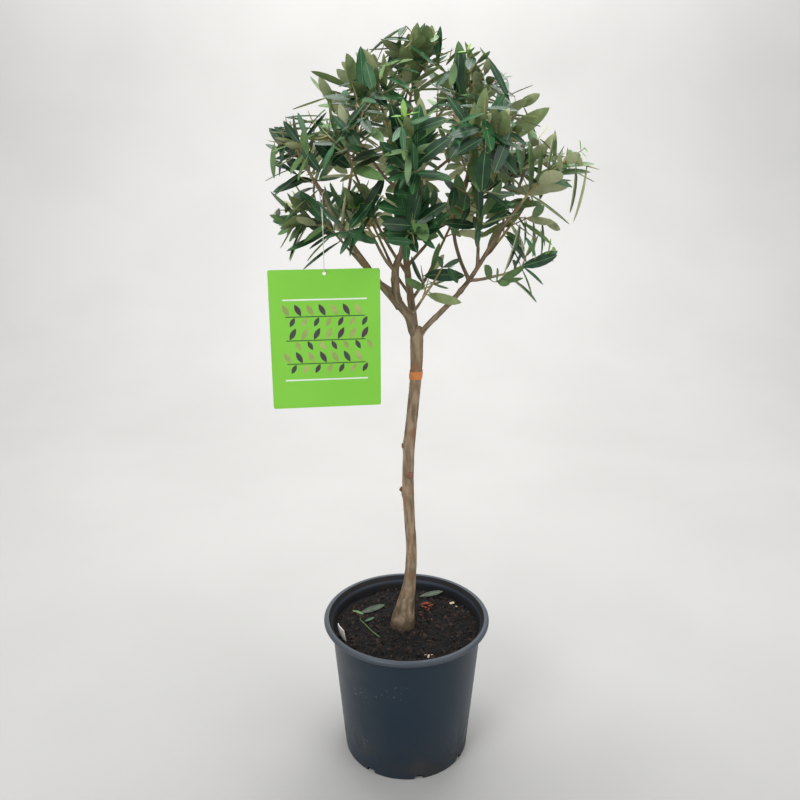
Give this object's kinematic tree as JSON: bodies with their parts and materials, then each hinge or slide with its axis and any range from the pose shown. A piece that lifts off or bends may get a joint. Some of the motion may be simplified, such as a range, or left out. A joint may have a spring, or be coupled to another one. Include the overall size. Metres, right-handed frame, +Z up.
{
  "type": "potted olive tree",
  "caption": "Small standard olive tree: slim bent stem, open round crown of narrow leaves, dark round plastic nursery pot full of compost, plain green plant tag on a thread.",
  "frame": {"origin": "centre of the pot's flat underside", "axes": "+Z up along the stem, +X to the right and +Y to the back when the tag faces the viewer"},
  "size_m": [0.4501, 0.3595, 1.1677],
  "materials": {
    "bark": "rough grey-brown young bark",
    "leaf": "leathery leaf, dark green above and pale grey-green below",
    "pot": "dark blue-grey moulded plastic, satin",
    "soil": "moist dark potting compost",
    "tape": "orange marking tape",
    "tag": "bright green printed plant tag",
    "thread": "thin white twine",
    "label": "blank white plant label"
  },
  "bodies": {
    "root": {"pot": "pot", "soil": "soil", "trunk": "bark", "bough_left": "bark", "bough_centre": "bark", "bough_right": "bark", "bough_far_left": "bark", "bough_right_inner": "bark", "bough_right_low": "bark", "bough_to_low_left": "bark", "bough_to_upper_left": "bark", "bough_to_front_left": "bark", "bough_to_inner_left": "bark", "bough_to_front_low": "bark", "bough_to_front_right": "bark", "bough_to_low_front_right": "bark", "bough_to_far_right": "bark", "bough_to_upper_right": "bark", "bough_to_right_low": "bark", "bough_to_top_left": "bark", "bough_to_under": "bark", "bough_to_back_left": "bark", "bough_to_back": "bark", "bough_to_back_right": "bark", "bough_to_low_back_left": "bark", "bough_to_low_back_right": "bark", "bough_to_top_back_left": "bark", "bough_to_top_back_right": "bark", "foliage_left": "leaf", "foliage_low_left": "leaf", "foliage_upper_left": "leaf", "foliage_front_left": "leaf", "foliage_inner_left": "leaf", "foliage_front": "leaf", "foliage_front_low": "leaf", "foliage_front_right": "leaf", "foliage_low_front_right": "leaf", "foliage_right": "leaf", "foliage_far_right": "leaf", "foliage_upper_right": "leaf", "foliage_low_right": "leaf", "foliage_right_low": "leaf", "foliage_top": "leaf", "foliage_top_left": "leaf", "foliage_top_right": "leaf", "foliage_under": "leaf", "foliage_back_left": "leaf", "foliage_back": "leaf", "foliage_back_right": "leaf", "foliage_low_back_left": "leaf", "foliage_low_back_right": "leaf", "foliage_top_back_left": "leaf", "foliage_top_back_right": "leaf", "trunk_band": "tape", "tag_card": "tag", "tag_thread": "thread", "pot_label": "label"}
  },
  "joints": []
}
